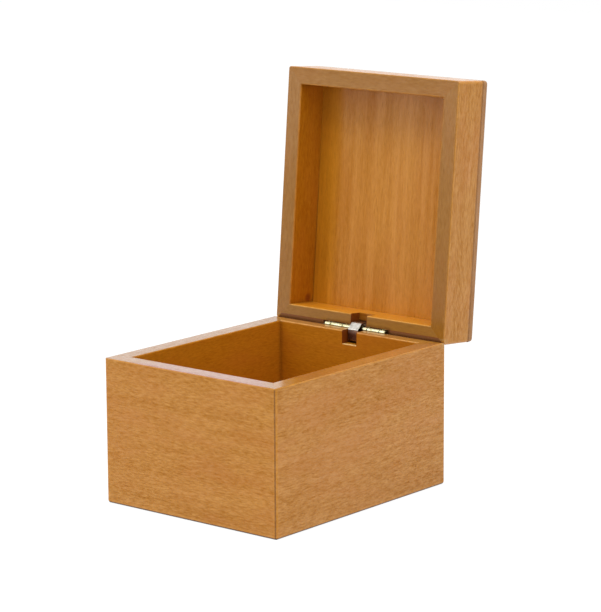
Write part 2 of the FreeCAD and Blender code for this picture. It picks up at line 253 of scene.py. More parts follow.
class Finishes(bpy.types.PropertyGroup):
    """Colours of the lacquered wood, the brass and the steel."""
    wood_light: colour("Light wood", (207, 140, 30), "Wood between the growth lines")
    wood_dark: colour("Dark wood", (166, 102, 0), "Wood along the growth lines")
    wood_rosy: colour("Rosy wood", (190, 116, 30), "Patches of redder wood")
    wood_pore: colour("Pores", (110, 62, 14), "Short open pores, filled by the stain")
    # wood_joint_and_shade: stain drawn into joints, and also painted shade in the inner corners and beside
    # the barrel
    wood_joint_and_shade: colour("Joints", (92, 52, 12), "Stain drawn in where two boards meet")
    # wood_worn_and_highlight: edges rubbed lighter, and also painted highlights along the arrises
    wood_worn_and_highlight: colour("Worn edges", (222, 150, 44), "Edges that handling has rubbed lighter")
    # wood_end_and_shade: sawn end grain and knots, and also painted shade along the edge of the groove round
    # the barrel
    wood_end_and_shade: colour("End grain", (120, 54, 14), "Sawn end grain and knots, which drink in the stain")
    wood_rim: colour("Rim tint", (208, 210, 224), "Tint of the rims, rubbed down after staining")
    # Painted sheen: a cool reflection painted along the middle of the base's rims
    wood_painted_sheen: colour("Cool rim", (185, 130, 200), "Cool sheen along the middle of the base's rims")
    wood_inside: colour("Inside tint", (255, 247, 238), "Tint of the faces inside, which hands spare")
    wood_panel: colour("Panel tint", (252, 255, 235), "Tint of the floor and the top panel inside")
    # wood_lip_and_shadow: tint of the top panel's edges, and also painted shadow on the inside of the top's
    # front end
    wood_lip_and_shadow: colour("Lip tint", (218, 216, 252), "Tint of the top panel's edges and the wood by them")
    # wood_dust_and_light: dust, and also painted light on the shaded rounding in the groove along the hinge
    wood_dust_and_light: colour("Dust", (196, 182, 122), "Dust in the groove along the hinge and on its rims")
    # wood_shade is painted shade: the contact shadow along the boards' feet, and the shadow in the spring's
    # notches close to the barrel
    wood_shade: colour("Shade", (34, 20, 12), "Lines along the boards' feet, and old oil beside the hinge")
    # Painted highlight: the lit inner edges of the back rims, and the lit inner edge of the notch's floor
    wood_painted_highlight: colour("Fresh wood", (255, 214, 140), "Bare wood along a sawn edge")
    wood_gloss: share("Wood gloss", 0.12, "Shine of the bare wood")
    lacquer: share("Lacquer", 0.72, "How thickly the outside is lacquered")
    lacquer_roughness: share("Lacquer roughness", 0.14, "How satin the lacquer is")
    panel_roughness: share("Panel roughness", 0.24, "How satin the lacquer is on floor and top panel")
    brass: colour("Brass", (240, 240, 204), "Bright rolled brass")
    brass_dull: colour("Dull brass", (176, 168, 112), "Brass that has gone dull in the corners")
    # Painted shade: the brass below the hinge line, down in the groove, and the pin where it shows between
    # the knuckles
    brass_painted_shade: colour("Dark brass", (84, 72, 40), "Brass that no hand reaches")
    brass_tarnish: colour("Tarnish", (44, 36, 22), "Tarnish on the pin")
    steel: colour("Steel", (208, 204, 196), "Bright rolled spring steel")
    steel_dull: colour("Dull steel", (152, 148, 140), "Spring steel between the rolling marks")
    # Painted shade: the spring's legs down in the notches
    steel_dark: colour("Dark steel", (118, 94, 78), "Spring steel down in its notches")


class StudioSettings(bpy.types.PropertyGroup):
    """Floor, light and camera."""
    floor_size: length("Floor", 4000.0, "Side of the floor")
    floor_white: share("Floor white", 0.7, "How much light the floor sends back")
    floor_glow: share("Floor glow", 0.9, "Share of the floor's white that no shadow reaches")
    floor_shade: share("Floor shade", 0.2, "Share of the floor's white that shadows take away")
    sky: share("Sky", 0.55, "Soft light from all round")
    overhead: lamp_power("Overhead", 11.0, "Large soft lamp above")
    key: lamp_power("Key", 2.5, "Large soft lamp at the front left")
    fill: lamp_power("Fill", 2.5, "Large soft lamp at the right")
    camera_place: bpy.props.FloatVectorProperty(
        name="Camera", description="Where the camera stands", default=(0.80465, -0.95439, 0.33967),
        unit="LENGTH", subtype="TRANSLATION", precision=5,
    )
    camera_turn: bpy.props.FloatVectorProperty(
        name="Camera turn", description="Where the camera looks", subtype="EULER",
        default=(math.radians(78.5934), math.radians(0.3053), math.radians(39.5738)),
    )
    lens: bpy.props.FloatProperty(
        name="Lens", description="Focal length of the camera", default=164.75, unit="CAMERA",
    )


# Small tools for modelling

def clear_selection():
    """Nothing selected, in object mode."""
    bpy.ops.object.select_all(action="DESELECT")


def pick(piece):
    """One piece selected and active."""
    clear_selection()
    piece.select_set(True)
    bpy.context.view_layer.objects.active = piece


def settle(piece, matrix=None):
    """The piece's place moved into its mesh, so that its object sits at the origin."""
    pick(piece)
    if matrix is not None:
        piece.matrix_world = matrix @ piece.matrix_world
    bpy.ops.object.transform_apply(location=True, rotation=True, scale=True)


def block(name, low, high):
    """A cube stretched from one corner to the other."""
    low, high = Vector(low), Vector(high)
    clear_selection()
    bpy.ops.mesh.primitive_cube_add(size=1.0, location=(low + high) / 2)
    piece = bpy.context.object
    piece.name = name
    piece.scale = high - low
    settle(piece)
    return piece


def rod(name, middle, radius, run):
    """A round rod along the hinge line's direction."""
    clear_selection()
    bpy.ops.mesh.primitive_cylinder_add(
        vertices=ROD_SIDES, radius=radius, depth=run, location=middle, rotation=(0.0, math.pi / 2, 0.0),
    )
    piece = bpy.context.object
    piece.name = name
    settle(piece)
    return piece


def strip_of_sheet(name, corner, far_corner):
    """A flat upright sheet, as wide as the corners' x and as high as their z."""
    corner, far_corner = Vector(corner), Vector(far_corner)
    clear_selection()
    bpy.ops.mesh.primitive_plane_add(
        size=1.0, location=(corner + far_corner) / 2, rotation=(math.pi / 2, 0.0, 0.0),
    )
    piece = bpy.context.object
    piece.name = name
    piece.scale = (far_corner.x - corner.x, far_corner.z - corner.z, 1.0)
    settle(piece)
    return piece


def edit(piece, mode="EDGE"):
    """Opens a piece in edit mode with nothing selected."""
    pick(piece)
    bpy.ops.object.mode_set(mode="EDIT")
    bpy.ops.mesh.select_mode(type=mode)
    bpy.ops.mesh.select_all(action="DESELECT")


def leave():
    """Back to object mode."""
    bpy.ops.object.mode_set(mode="OBJECT")


def select_edges(piece, test):
    """Selects the edges that pass a test of their two ends, in edit mode."""
    mesh = bmesh.from_edit_mesh(piece.data)
    found = [edge for edge in mesh.edges if test(edge.verts[0].co, edge.verts[1].co)]
    if not found:
        raise RuntimeError(f"{piece.name} has no such edge")
    bpy.ops.mesh.select_all(action="DESELECT")
    for edge in found:
        edge.select_set(True)
    bmesh.update_edit_mesh(piece.data)


def select_faces(piece, test):
    """Selects the faces that pass a test of their middle and direction, in edit mode."""
    mesh = bmesh.from_edit_mesh(piece.data)
    found = [face for face in mesh.faces if test(face.calc_center_median(), face.normal)]
    if not found:
        raise RuntimeError(f"{piece.name} has no such face")
    bpy.ops.mesh.select_all(action="DESELECT")
    for face in found:
        face.select_set(True)
    bmesh.update_edit_mesh(piece.data)


def split(place, normal, keep_all=True):
    """A straight cut through the whole piece in edit mode, which also takes one side away if asked."""
    bpy.ops.mesh.select_all(action="SELECT")
    bpy.ops.mesh.bisect(
        plane_co=place, plane_no=normal, use_fill=not keep_all, clear_outer=not keep_all, threshold=NEAR,
    )


def draw_out(step):
    """Extrudes what is selected in edit mode by a step."""
    bpy.ops.mesh.extrude_region_move(TRANSFORM_OT_translate={"value": step})


def apply_modifier(piece, kind, **settings):
    """A modifier with its settings, added and applied."""
    pick(piece)
    bpy.ops.object.modifier_add(type=kind)
    modifier = piece.modifiers[-1]
    for name, value in settings.items():
        setattr(modifier, name, value)
    bpy.ops.object.modifier_apply(modifier=modifier.name)


def cut_away(piece, cutter):
    """Takes a cutter's shape out of a piece, and the cutter with it."""
    apply_modifier(piece, "BOOLEAN", object=cutter, operation="DIFFERENCE", solver="EXACT")
    bpy.data.meshes.remove(cutter.data)


def copy_of(piece, name):
    """A copy with a mesh of its own."""
    pick(piece)
    bpy.ops.object.duplicate(linked=False)
    twin = bpy.context.object
    twin.name = name
    return twin


def drop_specks(piece):
    """Takes out edges and faces too small to see, which cuts leave where roundings meet."""
    edit(piece)
    bpy.ops.mesh.select_all(action="SELECT")
    bpy.ops.mesh.dissolve_degenerate(threshold=SPECK)
    leave()


def smooth(piece):
    """Rounded edges shade smoothly, and flat faces stay flat."""
    pick(piece)
    bpy.ops.object.shade_smooth_by_angle(angle=SMOOTH_ANGLE)
    apply_modifier(piece, "WEIGHTED_NORMAL", keep_sharp=True, weight=100)


def hand_over(piece, node, body, material):
    """Checks a finished piece against its CAD node, then lets it stand for the node and ride on its body."""
    low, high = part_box(node)
    corners = [Vector(corner) for corner in piece.bound_box]
    for axis in range(3):
        reach = [corner[axis] for corner in corners]
        if max(abs(min(reach) - low[axis]), abs(max(reach) - high[axis])) > NODE_SLACK:
            raise RuntimeError(f"{piece.name} does not fill its node {node}, from {low} to {high}")
    piece.data.materials.clear()
    piece.data.materials.append(material)
    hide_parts(node)
    if body:
        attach(piece, body)


# Small tools for materials

class Wire:
    """An output of a shader node, on which sums add Math nodes."""

    def __init__(self, tree, socket):
        self.tree = tree
        self.socket = socket

    def __add__(self, other):
        return self.tree.math("ADD", self, other)

    def __radd__(self, other):
        return self.tree.math("ADD", other, self)

    def __sub__(self, other):
        return self.tree.math("SUBTRACT", self, other)

    def __rsub__(self, other):
        return self.tree.math("SUBTRACT", other, self)

    def __mul__(self, other):
        return self.tree.math("MULTIPLY", self, other)

    def __rmul__(self, other):
        return self.tree.math("MULTIPLY", other, self)

    def __abs__(self):
        return self.tree.math("ABSOLUTE", self)


class ShaderTree:
    """A node tree that is written as Python: one method adds a node, and sums add Math nodes."""

    def __init__(self, tree):
        self.tree = tree

    def node(self, kind, settings=None, sockets=None, output=0):
        """A node of a kind: its settings first, then the values or wires of its sockets."""
        made = self.tree.nodes.new("ShaderNode" + kind)
        for name, value in (settings or {}).items():
            setattr(made, name, value)
        for name, value in (sockets or {}).items():
            self.feed(made.inputs[name], value)
        return Wire(self, made.outputs[output]) if made.outputs else None

    def feed(self, socket, value):
        """A value or a wire put into a socket."""
        if isinstance(value, Wire):
            self.tree.links.new(value.socket, socket)
        else:
            socket.default_value = value

    def math(self, operation, *parts):
        """A Math node on numbers and wires."""
        return self.node("Math", {"operation": operation}, dict(enumerate(parts)))

    def fade(self, value, start, end, first=0.0, last=1.0):
        """A smooth step from one number to another while a value goes from start to end."""
        sockets = {0: value, 1: start, 2: end, 3: first, 4: last}
        return self.node("MapRange", {"interpolation_type": "SMOOTHSTEP"}, sockets)

    def mix(self, factor, first, second):
        """A colour between two colours."""
        return self.node("Mix", {"data_type": "RGBA"}, {0: factor, 6: first, 7: second}, output=2)

    def parts(self, vector):
        """The three parts of a vector."""
        parted = self.node("SeparateXYZ", sockets={0: vector}).socket.node
        return [Wire(self, output) for output in parted.outputs]

    def noise(self, place, repeats, seed, detail=2.0, roughness=0.55, waves=0.0):
        """Soft noise from 0 to 1, which repeats one way along the first axis and another way across it."""
        along, across = repeats
        spread = self.node("VectorMath", {"operation": "MULTIPLY"}, {0: place, 1: (along, across, across)})
        sockets = {
            "Vector": spread, "W": seed, "Scale": 1.0,
            "Detail": detail, "Roughness": roughness, "Distortion": waves,
        }
        return self.node("TexNoise", {"noise_dimensions": "4D"}, sockets)


def opaque(light):
    """A colour as a socket takes it."""
    return (*light, 1.0)


def new_material(name, **constants):
    """A material, its tree and its shader, with the settings that are the same all over it."""
    material = bpy.data.materials.new(name)
    material.use_nodes = True
    shader = material.node_tree.nodes["Principled BSDF"]
    for socket, value in constants.items():
        shader.inputs[socket.replace("_", " ")].default_value = value
    return material, ShaderTree(material.node_tree), shader.inputs


def place_on_piece(tree, axes, middle):
    """Object coordinates in millimetres, turned to a piece's own axes and centred on it."""
    turn = Matrix(axes)
    shift = turn @ (Vector(middle) / MM)
    sockets = {
        "Vector": tree.node("TexCoord", output=3),
        "Location": -shift,
        "Rotation": turn.to_euler("XYZ"),
        "Scale": (1 / MM, 1 / MM, 1 / MM),
    }
    return tree.node("Mapping", {"vector_type": "POINT"}, sockets)


class WoodLook:
    """Lacquered wood on one board: its axes run along the grain, across it and to the outside."""

    def __init__(self, name, seed, axes, middle, size, shift=0.0, striped=False):
        self.finish = bpy.context.scene.box_finishes
        satin = self.finish.panel_roughness if striped else self.finish.lacquer_roughness
        self.material, self.tree, self.shader = new_material(
            name, Specular_IOR_Level=self.finish.wood_gloss, Coat_Roughness=satin,
        )
        tree = self.tree
        self.place = place_on_piece(tree, axes, middle)
        self.along, self.across, outward = tree.parts(self.place)
        self.half_length, self.half_width, half_thickness = (side / MM / 2 for side in size)
        self.to_outside = half_thickness - outward
        self.to_inside = half_thickness + outward
        self.inside = tree.fade(self.to_inside, 0.8, 0.2)
        self.rubbed = tree.fade(tree.noise(self.place, RUBBED_PATCH, seed + 50), 0.3, 0.7, 0.3, 1.0)

        # Ribbon, streaks, fibres and flecks, all drawn out along the grain
        self.cloud = tree.noise(self.place, CLOUD, seed + 10)
        self.fibre = tree.noise(self.place, FIBRE, seed + 20)
        self.fleck = tree.noise(self.place, FLECK, seed + 30, detail=1.0, waves=0.5)
        grain = (self.cloud - 0.5) * 0.4 + (self.fibre - 0.5) * 0.6
        if striped:
            ribbon = tree.noise(self.place, PANEL_RIBBON, seed)
            streak = tree.noise(self.place, PANEL_STREAK, seed + 60, detail=1.0)
            grain = grain + (ribbon - 0.5) * 1.2 + (streak - 0.5) * 0.7 + (self.fleck - 0.5) * 0.7
        else:
            ribbon = tree.noise(self.place, BOARD_RIBBON, seed)
            streak = tree.noise(self.place, BOARD_STREAK, seed + 60, detail=1.0)
            grain = grain + (ribbon - 0.5) * 0.6 + (streak - 0.5) * 0.3 + (self.fleck - 0.5) * 1.7
            rim = tree.fade(self.half_width - self.across, 0.6, 0.2)
            grain = grain * (0.87 - tree.math("MAXIMUM", self.inside * 0.25, rim * 0.4))
        # On the lid's rails the shift of the inside tone stands in for painted light and shade
        tone = tree.math("MAXIMUM", 0.0, 0.5 + self.inside * shift + grain)
        self.colour = tree.node(
            "Mix", {"data_type": "RGBA", "clamp_factor": False},
            {0: tone, 6: opaque(self.finish.wood_dark), 7: opaque(self.finish.wood_light)}, output=2,
        )
        rosy = tree.fade(tree.noise(self.place, ROSY_PATCH, seed + 70), 0.40, 0.70)
        self.stain(rosy * (0.2 if striped else 0.45), self.finish.wood_rosy)
        pore = tree.noise(self.place, PORE, seed + 40, detail=1.0)
        self.pores = tree.fade(pore, 0.56, 0.74)
        self.stain(self.pores * 0.25, self.finish.wood_pore)
        self.tint(self.inside, self.finish.wood_inside)
        veil = tree.math("MAXIMUM", 0.1, 1 + grain * 1.6 - self.pores * 0.3)
        self.lacquer = self.finish.lacquer * veil * (1 - self.inside * 0.3)

    def stain(self, amount, light):
        """Goes over to another colour."""
        self.colour = self.tree.mix(amount, self.colour, opaque(light))

    def tint(self, amount, light):
        """Shades the colour, and leaves its grain to be seen."""
        settings = {"data_type": "RGBA", "blend_type": "MULTIPLY"}
        sockets = {0: amount, 6: self.colour, 7: opaque(light)}
        self.colour = self.tree.node("Mix", settings, sockets, output=2)

    def distance(self, spot):
        """How far off a spot of the board is, in millimetres."""
        return self.tree.node("VectorMath", {"operation": "DISTANCE"}, {0: self.place, 1: spot}, output=1)

    def finished(self):
        """The material, with its colour, lacquer and relief."""
        tree, shader = self.tree, self.shader
        tree.feed(shader["Base Color"], self.colour)
        roughness = 0.42 + (self.cloud - 0.5) * 0.10 + self.pores * 0.12 + self.inside * 0.08
        tree.feed(shader["Roughness"], roughness)
        tree.feed(shader["Coat Weight"], self.lacquer)
        relief = self.fibre * 0.35 + self.fleck * 0.25 - self.pores * 0.6
        bump = tree.node("Bump", sockets={"Strength": 0.35, "Distance": 0.06 * MM, "Height": relief})
        tree.feed(shader["Normal"], bump)
        return self.material


def board_look(look, wear, back_end, seat):
    """What use and making left on a mitred board: rubbed edges, stained joints and a sawn seat."""
    tree, finish = look.tree, look.finish
    to_rim = look.half_width - look.across
    to_foot = look.half_width + look.across
    joint_end = look.half_length - look.along - look.to_outside
    other_end = look.half_length + look.along - look.to_outside
    corner = tree.math("MINIMUM", joint_end, other_end)
    near_outside = tree.fade(look.to_outside, 2.6, 1.6)
    below_rim = tree.fade(to_rim, 0.3, 1.0)
    rim = tree.fade(to_rim, 0.35, 0.05)

    # Edges that handling has rubbed, lighter both as wear and as painted highlights, and rims that catch
    # more or less of the lacquer, with a painted cool sheen along the middle of the base's rims
    outer_edge = tree.fade(to_rim + look.to_outside, 1.0, 0.2)
    inner_edge = tree.fade(to_rim + look.to_inside, 0.9, 0.2)
    upright_edge = tree.fade(corner, 1.9, 0.9) * near_outside * below_rim
    foot_edge = tree.fade(to_foot, 2.4, 0.8) * near_outside
    beside_top = tree.fade(to_foot, 1.6, 0.1) * near_outside
    middle_of_rim = rim * tree.fade(joint_end, 2.0, 8.0) * tree.fade(other_end, 12.0, 24.0)
    look.stain(outer_edge * look.rubbed * 0.5, finish.wood_worn_and_highlight)
    look.tint(rim * wear["rim_tint"], finish.wood_rim)
    look.lacquer = look.lacquer * (1 + rim * (wear["rim_lacquer"] - 1))
    look.stain(middle_of_rim * wear["rim_painted_sheen"], finish.wood_painted_sheen)
    look.stain(inner_edge * look.rubbed * 0.5, finish.wood_worn_and_highlight)
    look.stain(upright_edge * 0.25, finish.wood_worn_and_highlight)
    look.stain(foot_edge * wear["worn_foot_and_highlight"], finish.wood_worn_and_highlight)
    look.tint(beside_top * wear["foot_tint"], finish.wood_lip_and_shadow)

    # Stain drawn in where boards meet, painted shade in the inner corners, a painted contact shadow along
    # the foot, dust and painted light in the groove along the hinge, and a knot
    mitre = tree.fade(joint_end, 1.3, 0.6) * near_outside * below_rim
    inner_corner = tree.fade(corner, 2.4, 0.0) * look.inside
    foot_shadow = tree.fade(to_foot, 1.2, 0.5) * near_outside * wear["foot_shadow"]
    look.stain(mitre * wear["joint"], finish.wood_joint_and_shade)
    look.stain(inner_corner * 0.3, finish.wood_joint_and_shade)
    # Painted contact shadow along the foot: a dark colour, and no lacquer to reflect the floor
    look.stain(foot_shadow, finish.wood_shade)
    look.lacquer = look.lacquer * (1 - foot_shadow)
    if back_end:
        to_back = look.to_outside if seat else look.half_length - look.along * back_end
        rim_by_hinge = rim * tree.fade(to_back, 14.0, 4.0)
        # Dust in the groove along the hinge, which also lightens its shaded rounding as painted light
        groove = tree.fade(to_back, 3.4, 2.5) * tree.fade(to_back, 0.7, 1.5) * tree.fade(to_rim, 3.4, 2.4)
        look.stain(rim_by_hinge * wear["back_dust_and_light"] * 0.09, finish.wood_dust_and_light)
        look.stain(groove * wear["back_dust_and_light"], finish.wood_dust_and_light)
    if wear["knot"]:
        look.stain(tree.fade(look.distance(wear["knot"]), 2.8, 0.8) * 0.8, finish.wood_end_and_shade)
    if seat:
        seat_look(look, wear, seat, to_rim, rim)
    return look.finished()


def seat_look(look, wear, seat, to_rim, rim):
    """What sawing and use left round the hinge: bare edges, dark end grain and old oil."""
    tree, finish = look.tree, look.finish
    hinge, rim_gap, notch_sides = seat
    from_middle = abs(look.along - sum(notch_sides) / 2 / MM)

    # The rim beside the barrel: a painted highlight along its inner edge, and painted shade above the barrel
    half_barrel = hinge.barrel_length / 2 / MM
    edge_highlight = tree.fade(to_rim + look.to_inside, 0.7, 0.3)
    beside_barrel = tree.fade(from_middle, half_barrel + 2.5, half_barrel)
    shade = rim * beside_barrel * tree.fade(look.to_outside, 4.9, 3.4)
    look.stain(edge_highlight * look.rubbed * 0.2, finish.wood_painted_highlight)
    look.stain(shade * wear["seat_shade"], finish.wood_joint_and_shade)

    # The notch for the spring: its two sides of dark end grain, then its darker floor, with painted shade on
    # the back of that floor and painted light along its inner edge
    depth = hinge.notch_depth() / MM
    back_of_notch = (hinge.inset + hinge.barrel_radius()) / MM
    past_barrel = tree.fade(look.to_outside, back_of_notch - 0.2, back_of_notch)
    in_notch = past_barrel * tree.fade(to_rim, depth + 0.1, depth - 0.1)
    for place in notch_sides:
        side = tree.fade(abs(look.along - place / MM), 0.3, 0.15)
        look.stain(side * in_notch * 0.9, finish.wood_end_and_shade)
    half_notch = abs(notch_sides[0] - notch_sides[1]) / 2 / MM
    between = tree.fade(from_middle, half_notch, half_notch - 0.2)
    floor = tree.fade(abs(to_rim - depth), 0.4, 0.2) * between * past_barrel
    look.stain(floor * wear["notch_floor"], finish.wood_end_and_shade)
    look.stain(floor * tree.fade(look.to_outside, 5.4, 4.2) * 0.9, finish.wood_shade)
    look.stain(floor * tree.fade(look.to_inside, 1.6, 1.0) * wear["notch_sill"], finish.wood_painted_highlight)

    # The groove round the barrel: painted shade along its edge, and painted shade in the notch close to the
    # barrel
    up = to_rim + rim_gap / MM / 2
    forward = look.to_outside - hinge.inset / MM
    from_axis = tree.math("SQRT", up * up + forward * forward)
    groove = hinge.groove_radius() / MM
    look.stain(tree.fade(from_axis, groove + 0.15, groove + 0.02) * 0.85, finish.wood_end_and_shade)
    look.stain(tree.fade(from_axis, 4.6, 3.2) * in_notch * between * 0.85, finish.wood_shade)


def panel_look(look, border, lip=None):
    """What making left on a panel: dark lines along the boards beside it, and edges of another tone."""
    tree, finish = look.tree, look.finish
    to_side = look.half_width - abs(look.across)
    seam = tree.fade(to_side - border / MM, 0.9, 0.1) * tree.fade(look.along, -35.0, 15.0, 0.1, 0.6)
    look.stain(seam * look.inside, finish.wood_joint_and_shade)
    look.tint(look.inside, finish.wood_panel)
    if lip:
        # Painted shadow of the lid's front rail, on the inside of the top's front end
        front_rail_shadow = tree.fade(look.along, -20.0, -45.0) * look.inside
        look.tint(front_rail_shadow * 0.35, finish.wood_lip_and_shadow)
        to_edge = tree.math("MINIMUM", look.half_length - abs(look.along), to_side)
        edge = tree.fade(to_edge, 0.9, 0.3) * tree.fade(look.to_outside, 0.5, 1.5)
        look.tint(edge, finish.wood_lip_and_shadow)
        look.lacquer = look.lacquer * (1 + edge * 0.4)
        joint = tree.fade(abs(look.to_outside - lip / MM), 0.45, 0.15) * tree.fade(to_edge, 0.6, 0.3)
        look.stain(joint * look.rubbed * 0.3, finish.wood_joint_and_shade)
    return look.finished()


def bright_metal(name, seed, axes, middle, bright, dull, repeats, roughness, dark=None, depths=None):
    """Rolled metal: fine marks along its first axis, dull patches, and dark from one depth to another."""
    material, tree, shader = new_material(name, Metallic=1.0)
    place = place_on_piece(tree, axes, middle)
    marks = tree.noise(place, repeats, seed, detail=3.0, roughness=0.65)
    patches = tree.noise(place, DULL_PATCH, seed + 10)
    dullness = tree.fade(patches * 0.6 + marks * 0.4, 0.40, 0.66)
    light = tree.mix(dullness, opaque(bright), opaque(dull))
    if dark is not None:
        height = tree.parts(place)[2]
        light = tree.mix(tree.fade(height, *depths), light, opaque(dark))
    tree.feed(shader["Base Color"], light)
    tree.feed(shader["Roughness"], roughness + marks * 0.14 + dullness * 0.08)
    bump = tree.node("Bump", sockets={"Strength": 0.2, "Distance": 0.02 * MM, "Height": marks})
    tree.feed(shader["Normal"], bump)
    return material


# The boards

def lid_matrix(box):
    """Where the lid stands open, from a tray that lies rim up on the origin."""
    lean = Matrix.Rotation(-OPEN_ANGLE, 4, "X")
    swing = Matrix.Translation(HINGE_LINE) @ lean @ Matrix.Translation(-HINGE_LINE)
    top = Vector((0.0, 0.0, box.base_height + box.rim_gap + box.lid_height))
    return swing @ Matrix.Translation(top) @ Matrix.Rotation(math.pi, 4, "Y")


def round_edges(piece, radius_of):
    """Every edge of a block rounded by its own radius, which its two ends tell."""
    radii = [
        radius_of(*(piece.data.vertices[index].co for index in edge.vertices)) for edge in piece.data.edges
    ]
    widest = max(radii)
    weights = piece.data.attributes.new("bevel_weight_edge", "FLOAT", "EDGE")
    for weight, radius in zip(weights.data, radii):
        weight.value = radius / widest
    apply_modifier(
        piece, "BEVEL", limit_method="WEIGHT", width=widest, segments=ROUND_STEPS, use_clamp_overlap=False,
    )


def rounded_block(name, box, foot, height, foot_round):
    """The outside of four boards, rim up: a block with every edge rounded as the real box has it."""
    half_width, half_depth = box.width / 2, box.depth / 2
    piece = block(name, (-half_width, -half_depth, foot), (half_width, half_depth, height))

    def radius_of(first, second):
        if abs(first.z - second.z) > NEAR:
            return box.corner_round
        if first.z < foot + NEAR:
            return foot_round
        return box.hinge_edge_round if min(first.y, second.y) > 0 else box.arris
    round_edges(piece, radius_of)
    return piece


def hollow(piece, box, wall, height, rabbet):
    """The block bored out to four walls, with a rabbet round its foot if asked and a softened inner rim."""
    inner_x, inner_y = box.width / 2 - wall, box.depth / 2 - wall
    cut_away(piece, block("cavity", (-inner_x, -inner_y, -BEYOND), (inner_x, inner_y, height + BEYOND)))
    if rabbet:
        reach_x, reach_y = inner_x + box.rabbet_depth, inner_y + box.rabbet_depth
        cut_away(piece, block("rabbet", (-reach_x, -reach_y, -BEYOND), (reach_x, reach_y, rabbet)))

    def on_inner_rim(first, second):
        return all(
            abs(end.z - height) < NEAR and abs(end.x) < inner_x + NEAR and abs(end.y) < inner_y + NEAR
            for end in (first, second)
        )
    edit(piece)
    select_edges(piece, on_inner_rim)
    bpy.ops.mesh.bevel(offset=box.arris, segments=ARRIS_STEPS, affect="EDGES")
    leave()


def saw_board(tray, name, box, outward):
    """One board sawn from the tray by the mitres at its two ends, with the sawn edges softened."""
    board = copy_of(tray, name)
    grain = Vector((-outward.y, outward.x, 0.0))
    half_size = Vector((box.width / 2, box.depth / 2, 0.0))
    face = outward * abs(outward.dot(half_size))
    run = abs(grain.x) * half_size.x + abs(grain.y) * half_size.y
    mitres = [(face + grain * run * end, (grain * end - outward).normalized()) for end in (-1, 1)]
    edit(board)
    for corner, normal in mitres:
        split(corner, normal, keep_all=False)
    select_edges(board, lambda first, second: any(
        abs((first - corner).dot(normal)) < NEAR and abs((second - corner).dot(normal)) < NEAR
        for corner, normal in mitres
    ))
    bpy.ops.mesh.bevel(offset=box.mitre_line, segments=1, affect="EDGES", clamp_overlap=True)
    leave()
    return board


def cut_hinge_seat(board, box, hinge, notch, middle, wall, height):
    """Groove for the barrel, kerf for the leaf and notch for the spring, in the rim of a back board."""
    axis_y = box.depth / 2 - hinge.inset
    axis_z = height + box.rim_gap / 2
    run = hinge.barrel_length + 2 * hinge.groove_end
    cut_away(board, rod("groove", (middle, axis_y, axis_z), hinge.groove_radius(), run))
    kerf_half = hinge.barrel_length / 2 + hinge.kerf_clearance
    kerf_front = axis_y - hinge.barrel_radius() - hinge.kerf_clearance
    kerf_back = axis_y - hinge.bore_radius() + hinge.kerf_clearance
    cut_away(board, block(
        "kerf",
        (middle - kerf_half, kerf_front, height - hinge.leaf_drop),
        (middle + kerf_half, kerf_back, height + BEYOND),
    ))
    cut_away(board, block(
        "notch",
        (min(notch), box.depth / 2 - wall - BEYOND, height - hinge.notch_depth()),
        (max(notch), axis_y - hinge.barrel_radius(), height + BEYOND),
    ))


def make_boards(
    names, body, matrix, wall, foot, height, foot_round, rabbet, left_room, seed, wear, own_wear,
):
    """Four mitred boards: modelled together rim up, sawn apart, then put in place."""
    box = bpy.context.scene.box_sizes
    hinge = bpy.context.scene.hinge_sizes
    turn = matrix.to_3x3()
    side = 1 if turn[0][0] > 0 else -1
    notch = [side * place for place in hinge.notch_sides(left_room)]
    tray = rounded_block("tray", box, foot, height, foot_round)
    hollow(tray, box, wall, height, rabbet)
    rise = Vector((0, 0, 1))
    for name, outward in zip(names, ((0, -1, 0), (1, 0, 0), (0, 1, 0), (-1, 0, 0))):
        outward = Vector(outward)
        grain = Vector((-outward.y, outward.x, 0.0))
        board = saw_board(tray, name, box, outward)
        seat = None
        if outward.y > 0:
            cut_hinge_seat(board, box, hinge, notch, side * hinge.offset, wall, height)
            seat = hinge, box.rim_gap, [grain.x * place for place in notch]
        drop_specks(board)
        settle(board, matrix)
        smooth(board)
        reach, run = (box.width / 2, box.depth) if outward.x else (box.depth / 2, box.width)
        middle = matrix @ (outward * (reach - wall / 2) + rise * (foot + height) / 2)
        axes = [turn @ grain, turn @ rise, turn @ outward]
        seed += SEED_STEP
        marks = {**NO_MARKS, **wear, **own_wear.get(name, {})}
        look = WoodLook(f"wood_{name}", seed, axes, middle, (run, height - foot, wall), shift=marks["shift"])
        back_end = grain.y + outward.y if outward.y >= 0 else 0
        hand_over(board, name, body, board_look(look, marks, back_end, seat))
    bpy.data.meshes.remove(tray.data)


def finish_panel(panel, name, body, matrix, size, look_settings, look_options):
    """A floor or a top put in place and given its wood, with the grain from front to back."""
    settle(panel, matrix)
    smooth(panel)
    turn = matrix.to_3x3()
    axes = [turn @ Vector((0, 1, 0)), turn @ Vector((1, 0, 0)), turn @ Vector((0, 0, -1))]
    across, along, thickness = size
    middle = matrix @ Vector((0, 0, thickness / 2))
    look = WoodLook(
        f"wood_{name}", axes=axes, middle=middle, size=(along, across, thickness), **look_settings,
    )
    hand_over(panel, name, body, panel_look(look, **look_options))


# The hinge

def run_on(run, steps=1):
    """Carries the selected edges of a sheet straight on."""
    for _ in range(steps):
        draw_out(Vector(run) / steps)


def bend_on(bend, steps, centre=(0.0, 0.0, 0.0)):
    """Carries the selected edges of a sheet on round a line along X."""
    bpy.ops.mesh.spin(steps=steps, angle=bend, center=centre, axis=X_AXIS)


def thicken(piece, thickness, softening):
    """A sheet given its thickness, half to each side, and softened edges."""
    apply_modifier(piece, "SOLIDIFY", thickness=thickness, offset=0.0, use_even_offset=True)
    apply_modifier(
        piece, "BEVEL", width=softening, segments=2, limit_method="ANGLE", angle_limit=SHARP_ANGLE,
    )


